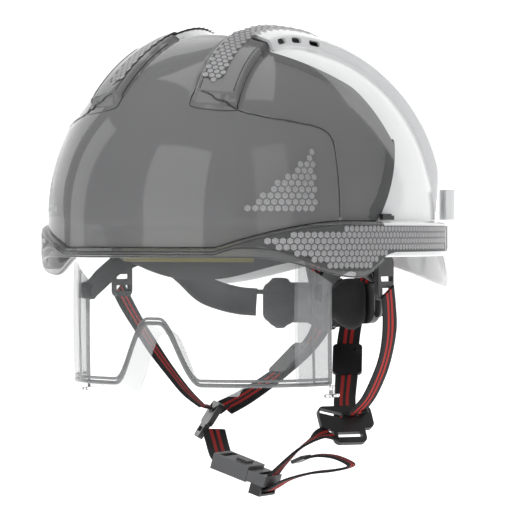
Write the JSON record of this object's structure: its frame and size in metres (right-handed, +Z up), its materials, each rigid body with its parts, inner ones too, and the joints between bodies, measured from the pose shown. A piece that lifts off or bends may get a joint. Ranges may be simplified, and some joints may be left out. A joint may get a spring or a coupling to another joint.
{
  "type": "safety helmet",
  "caption": "Vented hard hat with a smoke front cover, a retracting clear eye lens, a ratchet headband and a buckled chin harness.",
  "frame": {"origin": "centre of the headband, level with the lower edge of the rim at the brow, where the helmet sits on the head", "axes": "+Z up through the crown, -Y the way the wearer faces, +X the wearer's left"},
  "size_m": [0.2254, 0.2752, 0.2887],
  "materials": {
    "shell_white": "glossy moulded ABS",
    "smoke_cover": "glossy translucent smoke polycarbonate",
    "clear_peak": "glossy clear grey polycarbonate",
    "clear_lens": "clear polycarbonate",
    "decal_film": "retroreflective film with hexagon cells",
    "black_plastic": "satin black nylon",
    "harness_nylon": "satin dark grey polyethylene",
    "brow_foam": "olive wicking cloth over foam",
    "nape_foam": "black moulded foam with cloth face",
    "cradle_textile": "black woven tape",
    "webbing": "black woven webbing with two red stripes",
    "buckle_grey": "satin grey acetal",
    "steel": "plated steel"
  },
  "bodies": {
    "helmet": {"shell": "shell_white", "vent_ridge_left": "shell_white", "vent_ridge_right": "shell_white", "front_cover": "smoke_cover", "peak": "clear_peak", "cover_clips": "black_plastic", "lamp_clips": "shell_white", "ridge_decal_left": "decal_film", "ridge_decal_right": "decal_film", "brow_decal_left": "decal_film", "brow_decal_right": "decal_film", "side_decal_left": "decal_film", "side_decal_right": "decal_film", "rear_decal": "decal_film", "pivot_brackets": "black_plastic", "pivot_screws": "steel", "headband": "harness_nylon", "brow_pad": "brow_foam", "rear_arm_left": "harness_nylon", "rear_arm_right": "harness_nylon", "harness_clips": "black_plastic", "crown_strap_front": "cradle_textile", "crown_strap_side": "cradle_textile", "crown_pad": "nape_foam", "nape_cradle": "black_plastic", "nape_pad": "nape_foam", "side_hanger_left": "black_plastic", "side_hanger_right": "black_plastic", "rear_hanger": "black_plastic", "side_strap_left": "webbing", "side_strap_right": "webbing", "rear_strap_left": "webbing", "rear_strap_right": "webbing", "y_buckle_left": "black_plastic", "y_buckle_right": "black_plastic", "rear_slider_left": "black_plastic", "rear_slider_right": "black_plastic", "chin_strap_short": "webbing", "chin_strap_long": "webbing", "strap_tail": "webbing", "strap_tip": "webbing", "buckle_socket": "buckle_grey", "buckle_plug": "buckle_grey", "button_spring": "steel", "strap_keeper": "black_plastic"},
    "visor_arms": {"visor_arm_left": "black_plastic", "visor_arm_right": "black_plastic"},
    "lens_unit": {"lens": "clear_lens", "nose_guard": "clear_lens", "lens_hinge_left": "black_plastic", "lens_hinge_right": "black_plastic", "lens_tab_left": "clear_lens", "lens_tab_right": "clear_lens"},
    "knob": {"ratchet_knob": "black_plastic", "knob_screw": "steel", "pinion": "black_plastic"},
    "rack_l": {"rack_left": "black_plastic"},
    "rack_r": {"rack_right": "black_plastic"},
    "button": {"buckle_button": "buckle_grey"}
  },
  "joints": [
    {"name": "visor_swing", "type": "hinge", "parent": "helmet", "child": "visor_arms", "pos_m": [0, 0.014, 0.001], "axis": [-1, 0, 0], "range_deg": [0, 50]},
    {"name": "lens_tilt", "type": "hinge", "parent": "visor_arms", "child": "lens_unit", "pos_m": [0, -0.058, -0.021], "axis": [-1, 0, 0], "range_deg": [-36, 0]},
    {"name": "knob_turn", "type": "hinge", "parent": "helmet", "child": "knob", "pos_m": [0, 0.0983, -0.031], "axis": [0, 1, 0], "range_deg": [-180, 180]},
    {"name": "rack_left_slide", "type": "slide", "parent": "helmet", "child": "rack_l", "axis": [1, 0, 0], "range_m": [-0.0126, 0.0126]},
    {"name": "rack_right_slide", "type": "slide", "parent": "helmet", "child": "rack_r", "axis": [1, 0, 0], "range_m": [-0.0126, 0.0126]},
    {"name": "button_press", "type": "slide", "parent": "helmet", "child": "button", "axis": [-0.2924, 0, -0.9563], "range_m": [0, 0.0014], "stiffness_N_per_m": 600, "deforming": ["button_spring"]}
  ],
  "couplings": [
    {"joint": "lens_tilt", "follows": "visor_swing", "ratio": -0.72},
    {"joint": "rack_left_slide", "follows": "knob_turn", "m_per_rad": -0.004},
    {"joint": "rack_right_slide", "follows": "knob_turn", "m_per_rad": 0.004}
  ]
}
